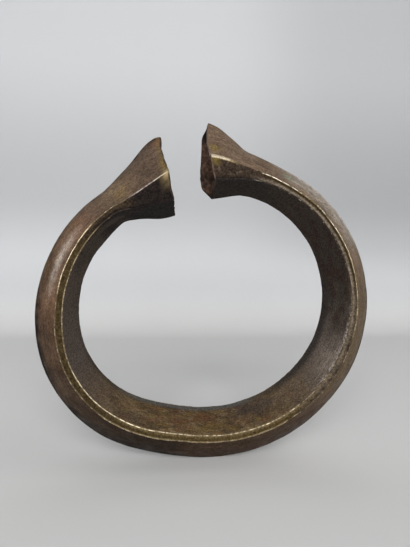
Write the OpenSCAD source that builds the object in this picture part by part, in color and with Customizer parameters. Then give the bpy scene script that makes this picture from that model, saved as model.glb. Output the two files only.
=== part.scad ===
// Open currency ring of copper-alloy sheet, hollow, with a five-sided section and two flared, open mouths.
// It stands on its foot: X runs across the ring, Y from the front to the rear, Z up from the foot.
// Every piece is a loft through the same row of stations, so pieces that meet share their edges.

/* [Ring] */
// Radius of the flattened stretch at the foot, on the inner face
foot_radius = 96; // [75:1:120]
// Turn of the flattened stretch, in degrees
foot_turn = 15.3; // [9:0.1:22]
// Rise of the inner face to the left in the middle of the foot, in degrees
foot_tilt = 1.7; // [0:0.1:4]
// Radius of the lower left bend, on the inner face
left_low_radius = 38; // [33:0.5:43]
// Turn of the lower left bend, in degrees
left_low_turn = 63.2; // [54:0.2:72]
// Radius of the upper left bend, on the inner face
left_high_radius = 46; // [40:0.5:52]
// Turn of the upper left bend, in degrees
left_high_turn = 62.8; // [54:0.2:72]
// Radius of the lower right bend, on the inner face
right_low_radius = 52.3; // [46:0.1:58]
// Turn of the lower right bend, in degrees
right_low_turn = 55.5; // [48:0.5:64]
// Radius of the upper right bend, on the inner face
right_high_radius = 44.7; // [39:0.1:50]
// Turn of the upper right bend, in degrees
right_high_turn = 113; // [102:0.5:120]

/* [Section] */
// Height of the ridge over the inner face at the foot
foot_ridge = 14.2; // [11:0.1:18]
// Height of the ridge over the inner face at the two necks
neck_ridge = 11.6; // [9:0.1:15]
// Depth of the ring from front to rear at the foot
foot_depth = 29.6; // [24:0.1:36]
// Depth of the ring from front to rear at the two necks
neck_depth = 26.8; // [22:0.1:32]
// Width of the side strips along the ring
side_width = 2.5; // [2.2:0.1:3.5]
// Radius of the rounded ridge along the ring
ridge_round = 5; // [3:0.1:7]
// Bulge of the outer plates between the ridge and the crease
plate_crown = 0.35; // [0:0.05:0.8]
// Thickness of the sheet
wall = 1.1; // [0.8:0.05:1.4]
// Depth worn off the ridge where the ring stands
foot_wear = 0.4; // [0.3:0.05:0.7]
// Gap between two plates, filled by the brazing metal
seam = 0.06; // [0.04:0.01:0.12]

/* [Mouths] */
// Depth of both mouths from front to rear, on the inner face
mouth_depth = 37; // [30:0.5:44]
// Depth of both mouths from front to rear, at the creases
crease_depth = 34; // [28:0.5:40]
// Radius of the ridge at the tips of the mouths
tip_round = 0.9; // [0.5:0.1:2]
// Length along the ring over which the ridge swells to a neck
neck_swell_length = 10; // [6:0.5:16]
// Length over which a flare leaves the ring's curve
neck_ease = 5; // [2:0.5:6]
// Length over which a flare takes its last direction at the mouth
mouth_ease = 6; // [3:0.5:7]
// Flat on the bare arrises of the flares
bare_arris = 0.3; // [0.2:0.05:0.6]
// Rise of the ridge on its way to the left neck
left_swell = 0; // [0:0.1:2]
// Length of the left flare on the inner face
left_flare = 21; // [16:0.2:26]
// Inward turn of the left flare from the ring's curve, in degrees
left_flare_turn = 25; // [15:1:35]
// Height of the left mouth from the inner face to the tip
left_mouth_height = 27.9; // [22:0.1:33]
// Width of the left mouth's side strips
left_mouth_side = 10.4; // [7:0.2:13]
// Droop of the left tip below the line of its ridge, in degrees
left_tip_droop = 16; // [0:1:24]
// Droop of the left crease below its line, in degrees
left_crease_droop = 6; // [0:1:20]
// Lead of the left mouth's creases over the line from its heel to its tip
left_bow = 0; // [-2:0.1:2]
// Lead of the left mouth's front heel over its rear heel
left_skew = -1.2; // [-3:0.1:4]
// Rise of the ridge on its way to the right neck
right_swell = 1.2; // [0:0.1:2]
// Length of the right flare on the inner face
right_flare = 16.7; // [13:0.1:22]
// Inward turn of the right flare from the ring's curve, in degrees
right_flare_turn = 15; // [6:1:24]
// Height of the right mouth from the inner face to the tip
right_mouth_height = 25.8; // [20:0.2:30]
// Width of the right mouth's side strips
right_mouth_side = 8.4; // [5:0.2:10]
// Droop of the right tip below the line of its ridge, in degrees
right_tip_droop = 6; // [0:1:20]
// Droop of the right crease below its line, in degrees
right_crease_droop = 16; // [0:1:20]
// Lead of the right mouth's creases over the line from its heel to its tip
right_bow = 2; // [-2:0.1:3]
// Lead of the right mouth's front heel over its rear heel
right_skew = 3.2; // [-3:0.1:4]

/* [Edging wires] */
// Width of the edging wires, and of the flats that they lie on
wire_width = 0.8; // [0.6:0.05:1]
// Height of the edging wires over their flats
wire_rise = 0.42; // [0.3:0.02:0.6]
// Share of the left flare that the wires run along
left_overrun = 0.25; // [0:0.125:0.5]
// Share of the right flare that the wires run along
right_overrun = 0.125; // [0:0.125:0.5]

/* [Hidden] */

// Turn of the ring between two stations, and number of steps along a flare, a ridge round and a wire's back
station_turn = 4;
flare_steps = 8;
round_steps = 4;
wire_steps = 5;
// Smallest radius inside a fold of the sheet
fold_inside = 0.3;
// How a flare gathers pace towards the mouth, and its ridge sharpens towards the tip
flare_power = 1.5;
round_power = 0.6;

// Arcs of the inner face from the foot to each neck, as radius and turn
left_arcs = [[foot_radius, foot_turn], [left_low_radius, left_low_turn], [left_high_radius, left_high_turn]];
right_arcs = [[right_low_radius, right_low_turn], [right_high_radius, right_high_turn]];

// Plain helpers
function unit(v) = v / norm(v);
function mix(a, b, t) = a + (b - a) * t;
function reverse(list) = [for (i = [len(list) - 1 : -1 : 0]) list[i]];
function turned(v, angle) = [v.x * cos(angle) - v.y * sin(angle), v.x * sin(angle) + v.y * cos(angle)];
function pick(hand, left, right) = hand < 0 ? left : right;
function bezier(c, t) =
    c[0] * (1 - t) ^ 3 + c[1] * 3 * t * (1 - t) ^ 2 + c[2] * 3 * t ^ 2 * (1 - t) + c[3] * t ^ 3;

// A walk over the inner face: place and rise of the path, going left (hand = -1) or right (hand = 1)
function along(from, radius, turn, hand) = [
    from[0] + radius * [hand * (sin(from[1] + turn) - sin(from[1])), cos(from[1]) - cos(from[1] + turn)],
    from[1] + turn];
function walk(from, arcs, hand, i = 0) =
    i == len(arcs) ? [from] :
    let (radius = arcs[i][0], turn = arcs[i][1], steps = ceil(turn / station_turn))
    concat([for (k = [0 : steps - 1]) along(from, radius, turn * k / steps, hand)],
           walk(along(from, radius, turn, hand), arcs, hand, i + 1));
function heading(step, hand) = [hand * cos(step[1]), sin(step[1])];
function outward(step, hand) = [hand * sin(step[1]), -cos(step[1])];

foot_place = [0, foot_ridge - foot_wear];
left_walk = walk([foot_place, foot_tilt], left_arcs, -1);
right_walk = walk([foot_place, -foot_tilt], right_arcs, 1);
left_neck = left_walk[len(left_walk) - 1];
right_neck = right_walk[len(right_walk) - 1];
ring_height = (left_neck[0].y + right_neck[0].y) / 2 - foot_place.y;

// A station holds the place on the inner face, the outward direction and the sizes of the section there
PLACE = 0;
OUT = 1;
RIDGE = 2;
SIDE = 3;
HALF_HEEL = 4;
HALF_CREASE = 5;
ROUND = 6;
SEAT = 7;
BOW = 8;
SKEW = 9;

function neck(hand) = pick(hand, left_neck, right_neck);
function swell(hand) = pick(hand, left_swell, right_swell);
function ring_station(step, hand) =
    let (
        share = (step[0].y - foot_place.y) / ring_height,
        half = mix(foot_depth, neck_depth, share) / 2,
        to_neck = pick(hand, left_high_radius, right_high_radius) * (neck(hand)[1] - step[1]) * PI / 180,
        lift = swell(hand) * max(0, 1 - to_neck / neck_swell_length) ^ 2)
    [step[0], outward(step, hand), mix(foot_ridge, neck_ridge, share) + lift, side_width, half, half,
     ridge_round, wire_width, 0, 0];

// A flare follows three rails from the neck to the mouth: on the inner face, the crease and the ridge
function rail(from, tangent, to, droop) =
    [from, from + tangent * neck_ease, to - turned(unit(to - from), droop) * mouth_ease, to];
function flare(hand) =
    let (
        start = ring_station(neck(hand), hand),
        tangent = heading(neck(hand), hand),
        lifted = turned(tangent, -hand * atan(2 * swell(hand) / neck_swell_length)),
        mouth = [start[PLACE], neck(hand)[1] + pick(hand, left_flare_turn, right_flare_turn)],
        heel_end = start[PLACE] + heading(mouth, hand) * pick(hand, left_flare, right_flare),
        crease_end = heel_end + outward(mouth, hand) * pick(hand, left_mouth_side, right_mouth_side),
        tip = heel_end + outward(mouth, hand) * pick(hand, left_mouth_height, right_mouth_height),
        heel_rail = rail(start[PLACE], tangent, heel_end, 0),
        crease_rail = rail(start[PLACE] + start[OUT] * start[SIDE], lifted, crease_end,
                           hand * pick(hand, left_crease_droop, right_crease_droop)),
        ridge_rail = rail(start[PLACE] + start[OUT] * start[RIDGE], lifted, tip,
                          hand * pick(hand, left_tip_droop, right_tip_droop)),
        wired_steps = flare_steps * pick(hand, left_overrun, right_overrun))
    [for (k = [1 : flare_steps])
        let (
            t = k / flare_steps,
            spread = t ^ flare_power,
            place = bezier(heel_rail, t),
            rise = bezier(ridge_rail, t) - place)
        [place, unit(rise), norm(rise), (bezier(crease_rail, t) - place) * unit(rise),
         mix(start[HALF_HEEL], mouth_depth / 2, spread), mix(start[HALF_CREASE], crease_depth / 2, spread),
         mix(ridge_round, tip_round, t ^ round_power), k <= wired_steps ? wire_width : bare_arris,
         hand * pick(hand, left_bow, right_bow) * spread, hand * pick(hand, left_skew, right_skew) * spread]];

left_half = concat([for (step = left_walk) ring_station(step, -1)], flare(-1));
right_half = concat([for (step = right_walk) ring_station(step, 1)], flare(1));
stations = concat(reverse(left_half), [for (i = [1 : len(right_half) - 1]) right_half[i]]);
wired = [for (s = stations) if (s[SEAT] == wire_width) s];

ridge_reach = [for (s = stations) s[PLACE].x + s[OUT].x * s[RIDGE]];
middle = (min(ridge_reach) + max(ridge_reach)) / 2;

// Corners of one half section as [depth, height]: the crease, the heel and what follows from them
function slope(s) =
    let (rise = s[RIDGE] - s[SIDE] - s[ROUND])
    atan2(rise, s[HALF_CREASE]) + asin(s[ROUND] / norm([s[HALF_CREASE], rise]));
function crease(s) = [s[HALF_CREASE], s[SIDE]];
function heel(s) = [s[HALF_HEEL], 0];
function up_plate(s) = [-cos(slope(s)), sin(slope(s))];
function down_side(s) = unit(heel(s) - crease(s));
INWARD = [-1, 0];

// A corner between two sheets that leave it along a and b, with a flat of the given width across it
function corner_half(a, b) = acos(a * b) / 2;
function corner_flat(p, a, b, width) =
    let (leg = width / 2 / sin(corner_half(a, b)))
    [p + a * leg, p + b * leg];
function corner_inside(p, a, b) = p + unit(a + b) * wall / sin(corner_half(a, b));
function corner_seam(p, a, b, width) =
    let (flat = corner_flat(p, a, b, width), shift = unit(a - b) * seam / 2)
    [(flat[0] + flat[1]) / 2 + shift, corner_inside(p, a, b) + shift];

// Outline of an outer plate from the ridge down to the crease and back inside
function plate_outline(s) =
    let (
        angle = slope(s),
        normal = [sin(angle), cos(angle)],
        top = s[RIDGE] - s[ROUND],
        inside = max(s[ROUND] - wall, fold_inside),
        low = top - (wall + inside - s[ROUND]) / cos(angle),
        flat = corner_flat(crease(s), up_plate(s), down_side(s), s[SEAT]),
        edge = corner_seam(crease(s), up_plate(s), down_side(s), s[SEAT]),
        shoulder = [0, top] + s[ROUND] * normal,
        shoulder_in = [0, low] + inside * normal)
    concat(
        [[seam / 2, s[RIDGE]]],
        [for (k = [1 : round_steps])
            let (a = angle * k / round_steps)
            [s[ROUND] * sin(a), top + s[ROUND] * cos(a)]],
        [(shoulder + flat[0]) / 2 + normal * plate_crown, flat[0]],
        edge,
        [(shoulder_in + edge[1]) / 2 + normal * plate_crown, shoulder_in, [seam / 2, low + inside]]);

// Outline of a side strip, between the crease and the heel
function strip_outline(s) =
    let (
        up = -down_side(s),
        top_flat = corner_flat(crease(s), down_side(s), up_plate(s), s[SEAT]),
        top_edge = corner_seam(crease(s), down_side(s), up_plate(s), s[SEAT]),
        low_flat = corner_flat(heel(s), up, INWARD, s[SEAT]),
        low_edge = corner_seam(heel(s), up, INWARD, s[SEAT]))
    [top_edge[0], top_flat[0], low_flat[0], low_edge[0], low_edge[1], top_edge[1]];

// Outline of the inner band, from the rear heel to the front heel
function band_outline(s) =
    let (
        flat = corner_flat(heel(s), INWARD, -down_side(s), s[SEAT]),
        edge = corner_seam(heel(s), INWARD, -down_side(s), s[SEAT]),
        half = [edge[1], edge[0], flat[0]])
    concat(half, [for (p = reverse(half)) [-p.x, p.y]]);

// Outline of a half-round wire on the flat of a corner
function wire_outline(p, a, b) =
    let (flat = corner_flat(p, a, b, wire_width), middle_flat = (flat[0] + flat[1]) / 2, out = -unit(a + b))
    [for (k = [0 : wire_steps])
        let (angle = 180 * k / wire_steps)
        middle_flat + (flat[0] - flat[1]) / 2 * cos(angle) + out * (seam / 2 + wire_rise * sin(angle))];

// A loft through rows of points, capped at both ends
module loft(rows) {
    n = len(rows[0]);
    last = len(rows) - 1;
    sides = [for (i = [0 : last - 1]) for (j = [0 : n - 1])
        let (a = i * n + j, b = i * n + (j + 1) % n)
        each [[a, b, b + n], [a, b + n, a + n]]];
    start_cap = [for (j = [n - 1 : -1 : 0]) j];
    end_cap = [for (j = [0 : n - 1]) last * n + j];
    polyhedron([for (row = rows) each row], concat(sides, [start_cap, end_cap]), convexity = 10);
}

// Points of an outline at a station, for the rear (face = 1) or for the front's mirror image (face = -1):
// the creases lead by the bow, the heels by the skew, and all is kept above the worn foot
function placed(s, outline, face) = [for (p = outline)
    let (
        bow = s[BOW] * min(p.y / s[SIDE], (s[RIDGE] - p.y) / (s[RIDGE] - s[SIDE])),
        skew = -face * s[SKEW] / 2 * p.x / s[HALF_HEEL] * max(0, 1 - p.y / s[SIDE]),
        q = s[PLACE] + s[OUT] * p.y + turned(s[OUT], 90) * (bow + skew))
    [q.x - middle, p.x, max(q.y, 0)]];

module rear_to_front() { mirror([0, 1, 0]) children(); }

module outer_plate(face) {
    color("#6b5544") loft([for (s = stations) placed(s, plate_outline(s), face)]);
}
module side_strip(face) {
    color("#6e5a36") loft([for (s = stations) placed(s, strip_outline(s), face)]);
}
module outer_wire(face) {
    color("#b8954f")
        loft([for (s = wired) placed(s, wire_outline(crease(s), up_plate(s), down_side(s)), face)]);
}
module inner_wire(face) {
    color("#b8954f") loft([for (s = wired) placed(s, wire_outline(heel(s), -down_side(s), INWARD), face)]);
}

module front_outer_plate() { rear_to_front() outer_plate(-1); }
module rear_outer_plate() { outer_plate(1); }
module inner_band() {
    color("#4a3a2a") loft([for (s = stations) placed(s, band_outline(s), 1)]);
}
module front_side_strip() { rear_to_front() side_strip(-1); }
module rear_side_strip() { side_strip(1); }
module front_outer_wire() { rear_to_front() outer_wire(-1); }
module front_inner_wire() { rear_to_front() inner_wire(-1); }
module rear_outer_wire() { outer_wire(1); }
module rear_inner_wire() { inner_wire(1); }

front_outer_plate();
rear_outer_plate();
inner_band();
front_side_strip();
rear_side_strip();
front_outer_wire();
front_inner_wire();
rear_outer_wire();
rear_inner_wire();
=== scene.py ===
import math
from types import SimpleNamespace

import bmesh
import bpy
import numpy as np
from mathutils import Matrix, Vector, noise


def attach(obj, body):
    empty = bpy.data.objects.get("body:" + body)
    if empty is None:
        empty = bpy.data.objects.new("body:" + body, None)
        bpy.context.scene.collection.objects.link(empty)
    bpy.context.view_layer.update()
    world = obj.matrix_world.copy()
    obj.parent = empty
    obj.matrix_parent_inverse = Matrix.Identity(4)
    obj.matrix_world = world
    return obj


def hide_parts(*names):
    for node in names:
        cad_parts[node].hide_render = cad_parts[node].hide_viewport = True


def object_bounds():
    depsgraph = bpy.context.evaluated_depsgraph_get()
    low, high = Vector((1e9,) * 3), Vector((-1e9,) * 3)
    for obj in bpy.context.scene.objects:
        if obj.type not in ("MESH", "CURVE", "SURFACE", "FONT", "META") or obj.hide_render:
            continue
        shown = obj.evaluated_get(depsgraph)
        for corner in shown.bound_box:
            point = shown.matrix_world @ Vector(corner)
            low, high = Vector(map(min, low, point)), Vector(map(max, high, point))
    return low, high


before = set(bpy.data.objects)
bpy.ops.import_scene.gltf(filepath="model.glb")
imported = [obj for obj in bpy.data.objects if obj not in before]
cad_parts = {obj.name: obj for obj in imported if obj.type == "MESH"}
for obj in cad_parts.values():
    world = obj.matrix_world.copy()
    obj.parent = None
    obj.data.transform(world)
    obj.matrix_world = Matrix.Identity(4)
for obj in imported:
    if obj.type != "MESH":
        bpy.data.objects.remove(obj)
cad_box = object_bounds()

# Lengths are in millimetres and angles in degrees until a point is placed
MM = 0.001
BOX = [np.array(limit) / MM for limit in cad_box]

# The ring's two arms, from the foot over tangent arcs of a radius and a turn to the flares:
# up to overrun the sizes are those of the solids, from crease_round on they are what hands and wear did
LEFT = SimpleNamespace(
    hand=-1, tilt=1.7, arcs=[(96, 15.3), (38, 63.2), (46, 62.8)], swell=0,
    flare=21, flare_turn=25, mouth_height=27.9, mouth_side=10.4, tip_droop=16, crease_droop=6,
    bow=0, skew=-1.2, overrun=0.25,
    crease_round=0.5, sag=0.7, crease_lift=0, wire_rest=1.2, tip_wear=0.5,
    rim_front=(0.3, -0.2, 0.1, -0.4, -0.4, 0.5), rim_rear=(0, 0, 0, -0.2, -0.4, 0.5))
RIGHT = SimpleNamespace(
    hand=1, tilt=-1.7, arcs=[(52.3, 55.5), (44.7, 113)], swell=1.2,
    flare=16.7, flare_turn=15, mouth_height=25.8, mouth_side=8.4, tip_droop=6, crease_droop=16,
    bow=2, skew=3.2, overrun=0.125,
    crease_round=1.8, sag=0, crease_lift=0.7, wire_rest=0.6, tip_wear=0,
    rim_front=(-1.1, -0.4, -0.1, 1, 0.8, 0.4), rim_rear=(-0.7, 1.3, 0.6, 1.4, 2.1, 0.5))

# The section along the ring and at the mouths, as the solids have it
FOOT_RIDGE, NECK_RIDGE = 14.2, 11.6
FOOT_DEPTH, NECK_DEPTH = 29.6, 26.8
SIDE_WIDTH = 2.5
RIDGE_ROUND, TIP_ROUND = 5, 0.9
PLATE_CROWN = 0.35
WALL = 1.1
FOOT_WEAR = 0.4
MOUTH_DEPTH, CREASE_DEPTH = 37, 34
NECK_SWELL_LENGTH = 10
NECK_EASE, MOUTH_EASE = 5, 6
FLARE_POWER, ROUND_POWER = 1.5, 0.6
WIRE_WIDTH, WIRE_RISE = 0.8, 0.42
FOLD_INSIDE = 0.3

# Fineness of the meshes
STATION_LENGTH = 0.85
FLARE_STEPS = 40
RIDGE_STEPS, PLATE_STEPS, STRIP_STEPS, BAND_STEPS, CORNER_STEPS, WIRE_STEPS = 12, 16, 8, 26, 6, 10
SHARP_ANGLE = 35

# How far the handmade metal strays from its plain shape: each wave has its length and its sway
WAVES = ((17, 0.16), (6, 0.08), (2.2, 0.03))
SWAY_SEED = 1
HEEL_ROUND = 1
SEAT_FADE = 1.4
LIP_BULGE, LIP_SHARES = 0.3, (0.15, 0.5, 0.85)
CREASE_LIFT_LENGTH = 6
TIP_WEAR_LENGTH, TIP_WEAR_FROM = 2.5, 0.75
RIM_WAVE, RIM_SWAY, RIM_REACH, RIM_LAYER = 4, 0.3, 6, 40
# Where the rims' leads are given: 0 at the heel, 1 at the crease, 2 at the tip
RIM_STOPS = (0, 0.5, 1, 1.35, 1.7, 2)
RIM_LEAD_POWER = 3
# Stands in for the depth of the section at its tip, which is nil
LEAST_DEPTH = 1e-6
# Inward drifts of single edges, as edge, size, and middle and reach along the ring from the left mouth
DRIFTS = (
    ("front", 0.6, 62, 20), ("front", -0.45, 119, 7),
    ("rear", 0.4, 32, 6), ("rear", 0.9, 5, 7), ("rear", 0.9, 290, 14),
    ("ridge", -1.4, 4.5, 4.8), ("ridge", 1, 283.2, 2.8), ("ridge", -0.5, 291, 2.5))

# Noise along the wires, as its length and its layer
LUMPS, BEADS, WANDER = (7, 0), (1.6, 5), (9, 9)
# Shares of the plain width and rise that a wire has, and that its lumps and beads add
LUMP_WIDTHS, LUMP_RISES, WANDER_SHARE = (0.64, 0.2, 0.12), (0.9, 0.25, 0.3), 0.22
# The wires are flattened round a place at the foot, by a share of their width
FOOT_SWELL, FOOT_SWELL_MIDDLE, FOOT_SWELL_REACH = 0.24, 140, 45
# Their ends taper over a length, to a least share of the rise and of the width
TAPER_LENGTH, TAPER_RISE, TAPER_WIDTH = 0.7, 0.05, 0.6
WIRE_SUNK = 0.05
# Flaws of the front wires, along the ring from the left mouth
WIRE_BREAK, WIRE_BREAK_GAP = 168.4, 1
WIRE_NICK, WIRE_NICK_LENGTH, WIRE_NICK_DEPTH = 64.6, 1.4, 0.75
# Stretches where the wires are rubbed bright, as from, to and how bright, with ends that fade
CREASE_RUBBED = (
    (14, 30, 0.22), (30, 55, 0.8), (55, 100, 0.2), (100, 172, 0.45), (172, 206, 0.12),
    (206, 226, 0.5), (226, 251, 0.85), (251, 268, 0.5), (268, 277, 1))
HEEL_RUBBED = (
    (29, 36, 0.4), (36, 70, 0.45), (70, 80, 0.35), (80, 122, 0.75), (122, 174, 0.5),
    (174, 192, 0.26), (192, 222, 0.18))
REAR_CREASE_RUBBED = ((30, 80, 0.8), (150, 200, 0.6), (230, 280, 0.9))
REAR_HEEL_RUBBED = ((90, 130, 0.25), (180, 230, 0.3))
RUB_FADE = 4

# The photograph's camera
CAMERA_PLACE = (-14.9, -152.8, 72.64)
CAMERA_YAW, CAMERA_PITCH, CAMERA_ROLL = 5.25, -0.43, 0.59
IMAGE_WIDTH, FOCAL_PIXELS, SENSOR_WIDTH = 410, 390, 36

# The stage, the lamps and the world around them, in metres and watts
SWEEP_START, SWEEP_RADIUS, SWEEP_STEPS = 0.26, 0.1, 12
STAGE_HALF_WIDTH, STAGE_FRONT, STAGE_TOP = 1.5, -0.6, 1
LAMP_AIM = (0, 0, 0.06)
LAMPS = (("key", (0.75, -0.2, 0.95), 0.5, 1.2), ("front", (-0.1, -1.1, 0.42), 1.1, 21))
WORLD_TINT = (0.98, 0.99, 1.0)
# How strong the world is below one slope of view and above another, and how strong it looks
WORLD_SLOPES, WORLD_LEVELS, WORLD_SEEN = (-0.1, 0.7), (0.06, 0.14), 0.62
CLIP_START = 0.01


def mix(a, b, t):
    return a + (b - a) * t


def unit(v):
    return v / np.linalg.norm(v)


def cos_sin(degrees):
    return math.cos(math.radians(degrees)), math.sin(math.radians(degrees))


def turned(v, degrees):
    c, s = cos_sin(degrees)
    return np.array([v[0] * c - v[1] * s, v[0] * s + v[1] * c])


def smooth(low, high, value):
    """Smooth step from 0 at low to 1 at high."""
    t = np.clip((value - low) / (high - low), 0, 1)
    return t * t * (3 - 2 * t)


def bezier(c, t):
    return c[0] * (1 - t) ** 3 + c[1] * 3 * t * (1 - t) ** 2 + c[2] * 3 * t ** 2 * (1 - t) + c[3] * t ** 3


# The walk over the inner face, from the foot to each neck

FOOT_PLACE = np.array([0.0, FOOT_RIDGE - FOOT_WEAR])


def heading(rise, hand):
    c, s = cos_sin(rise)
    return np.array([hand * c, s])


def outward(rise, hand):
    c, s = cos_sin(rise)
    return np.array([hand * s, -c])


def after_arc(place, rise, radius, turn, hand):
    """Place and rise after an arc of the given turn."""
    return place + radius * (outward(rise + turn, hand) - outward(rise, hand)), rise + turn


def walk(arm):
    """Steps from the foot to the neck, as place, rise and the length still to go to the neck."""
    place, rise = FOOT_PLACE, arm.tilt
    left_to_go = sum(radius * math.radians(turn) for radius, turn in arm.arcs)
    steps = []
    for radius, turn in arm.arcs:
        count = math.ceil(radius * math.radians(turn) / STATION_LENGTH)
        for k in range(count):
            part = turn * k / count
            to_neck = left_to_go - radius * math.radians(part)
            steps.append((*after_arc(place, rise, radius, part, arm.hand), to_neck))
        left_to_go -= radius * math.radians(turn)
        place, rise = after_arc(place, rise, radius, turn, arm.hand)
    return steps + [(place, rise, 0)]


WALKS = {arm.hand: walk(arm) for arm in (LEFT, RIGHT)}
RING_HEIGHT = sum(steps[-1][0][1] for steps in WALKS.values()) / 2 - FOOT_PLACE[1]


def crease_lift(arm, to_neck):
    return arm.crease_lift * math.exp(-(to_neck / CREASE_LIFT_LENGTH) ** 2)


def ring_station(step, arm):
    """The section's place and sizes at one step of the ring."""
    place, rise, to_neck = step
    share = (place[1] - FOOT_PLACE[1]) / RING_HEIGHT
    half = mix(FOOT_DEPTH, NECK_DEPTH, share) / 2
    swell = arm.swell * max(0, 1 - to_neck / NECK_SWELL_LENGTH) ** 2
    return SimpleNamespace(
        arm=arm, place=place, out=outward(rise, arm.hand),
        ridge=mix(FOOT_RIDGE, NECK_RIDGE, share) + swell, side=SIDE_WIDTH + crease_lift(arm, to_neck),
        half_heel=half, half_crease=half, round=RIDGE_ROUND, wired=1, bow=0, skew=0, spread=0,
        to_wire_end=arm.overrun * arm.flare + arm.wire_rest + to_neck)


def rail(start, tangent, end, droop):
    """Control points of one edge of a flare."""
    return [start, start + tangent * NECK_EASE, end - turned(unit(end - start), droop) * MOUTH_EASE, end]


def flare(arm):
    """The sections from the neck to the mouth."""
    neck = WALKS[arm.hand][-1]
    start = ring_station(neck, arm)
    tangent = heading(neck[1], arm.hand)
    lifted = turned(tangent, -arm.hand * math.degrees(math.atan(2 * arm.swell / NECK_SWELL_LENGTH)))
    mouth_rise = neck[1] + arm.flare_turn
    heel_end = start.place + heading(mouth_rise, arm.hand) * arm.flare
    out_end = outward(mouth_rise, arm.hand)
    heel_rail = rail(start.place, tangent, heel_end, 0)
    crease_rail = rail(start.place + start.out * SIDE_WIDTH, lifted, heel_end + out_end * arm.mouth_side,
                       arm.hand * arm.crease_droop)
    ridge_rail = rail(start.place + start.out * start.ridge, lifted, heel_end + out_end * arm.mouth_height,
                      arm.hand * arm.tip_droop)
    made = []
    for k in range(1, FLARE_STEPS + 1):
        t = k / FLARE_STEPS
        spread = t ** FLARE_POWER
        place = bezier(heel_rail, t)
        rise = bezier(ridge_rail, t) - place
        sag = arm.sag * math.sin(math.pi * t)
        past_wire = (t - arm.overrun) * arm.flare - arm.wire_rest
        made.append(SimpleNamespace(
            arm=arm, place=place - unit(rise) * sag, out=unit(rise), ridge=np.linalg.norm(rise) + sag,
            side=(bezier(crease_rail, t) - place) @ unit(rise) + crease_lift(arm, t * arm.flare),
            half_heel=mix(start.half_heel, MOUTH_DEPTH / 2, spread),
            half_crease=mix(start.half_crease, CREASE_DEPTH / 2, spread),
            round=mix(RIDGE_ROUND, TIP_ROUND, t ** ROUND_POWER),
            wired=1 - smooth(0, SEAT_FADE, past_wire),
            bow=arm.hand * arm.bow * spread, skew=arm.hand * arm.skew * spread, spread=t,
            to_wire_end=-past_wire))
    return made


def all_stations():
    """Stations from the left to the right mouth, each with its distance along the ring."""
    halves = {arm.hand: [ring_station(step, arm) for step in WALKS[arm.hand]] + flare(arm)
              for arm in (LEFT, RIGHT)}
    row = halves[-1][::-1] + halves[1][1:]
    travel = 0
    for before, station in zip([row[0]] + row, row):
        travel += np.linalg.norm(station.place - before.place)
        station.travel = travel
    for station in row:
        station.to_rim = min(station.travel, travel - station.travel)
    return row


STATIONS = all_stations()
REACH = [station.place[0] + station.out[0] * station.ridge for station in STATIONS]
MIDDLE = (min(REACH) + max(REACH)) / 2


# Corners of one half section, and the points of each sheet across it.
# From here on s is a station, and p is a point of its section as depth and height.

INWARD = np.array([-1.0, 0.0])


def slope(s):
    rise = s.ridge - s.side - s.round
    return math.atan2(rise, s.half_crease) + math.asin(s.round / math.hypot(s.half_crease, rise))


def crease(s):
    return np.array([s.half_crease, s.side])


def heel(s):
    return np.array([s.half_heel, 0.0])


def down_side(s):
    return unit(heel(s) - crease(s))


def crease_seat(s):
    """The crease and the directions of the two sheets that meet there."""
    angle = slope(s)
    return crease(s), np.array([-math.cos(angle), math.sin(angle)]), down_side(s)


def heel_seat(s):
    """The heel and the directions of the two sheets that meet there."""
    return heel(s), -down_side(s), INWARD


def corner_half(a, b):
    return math.acos(a @ b) / 2


def corner_inside(p, a, b):
    return p + unit(a + b) * WALL / math.sin(corner_half(a, b))


def seat(p, a, b):
    """The two ends of the flat that a wire lies on."""
    leg = WIRE_WIDTH / 2 / math.sin(corner_half(a, b))
    return p + a * leg, p + b * leg


def corner(p, a, b, radius, wired):
    """Points round a corner from sheet a to sheet b: an arc, or a wire's seat where wired."""
    half = corner_half(a, b)
    reach, centre = radius / math.tan(half), p + unit(a + b) * radius / math.sin(half)
    first, last = (p + a * reach - centre) / radius, (p + b * reach - centre) / radius
    sweep = math.pi - 2 * half
    flat = seat(p, a, b)
    points = []
    for k in range(2 * CORNER_STEPS + 1):
        t = k / (2 * CORNER_STEPS)
        arc = (first * math.sin((1 - t) * sweep) + last * math.sin(t * sweep)) / math.sin(sweep)
        points.append(mix(centre + arc * radius, mix(flat[0], flat[1], t), wired))
    return points


def crease_corner(s):
    radius = mix(WIRE_WIDTH, s.arm.crease_round, smooth(0, 1, s.spread))
    return corner(*crease_seat(s), radius, s.wired)


def heel_corner(s):
    return corner(*heel_seat(s), HEEL_ROUND, s.wired)


def line(a, b, count):
    """Points from a towards b, without b."""
    return [mix(a, b, k / count) for k in range(count)]


def on_round(height, radius, angle):
    """Point of a round under the ridge, at an angle from its top."""
    return np.array([radius * math.sin(angle), height + radius * math.cos(angle)])


def plate_chains(s):
    """Outer and inner points of an outer plate, from the ridge to the crease."""
    angle = slope(s)
    top = s.ridge - s.round
    inside = max(s.round - WALL, FOLD_INSIDE)
    low = top - (WALL + inside - s.round) / math.cos(angle)
    rounded = crease_corner(s)[:CORNER_STEPS + 1]
    turns = [angle * k / RIDGE_STEPS for k in range(RIDGE_STEPS)]
    outer = [on_round(top, s.round, turn) for turn in turns]
    inner = [on_round(low, inside, turn) for turn in turns]
    for k, p in enumerate(line(on_round(top, s.round, angle), rounded[0], PLATE_STEPS)):
        bulge = PLATE_CROWN * 4 * k * (PLATE_STEPS - k) / PLATE_STEPS ** 2
        outer.append(p + on_round(0, bulge, angle))
    last = corner_inside(*crease_seat(s))
    inner += line(on_round(low, inside, angle), last, PLATE_STEPS + CORNER_STEPS) + [last]
    return outer + rounded, inner


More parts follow.
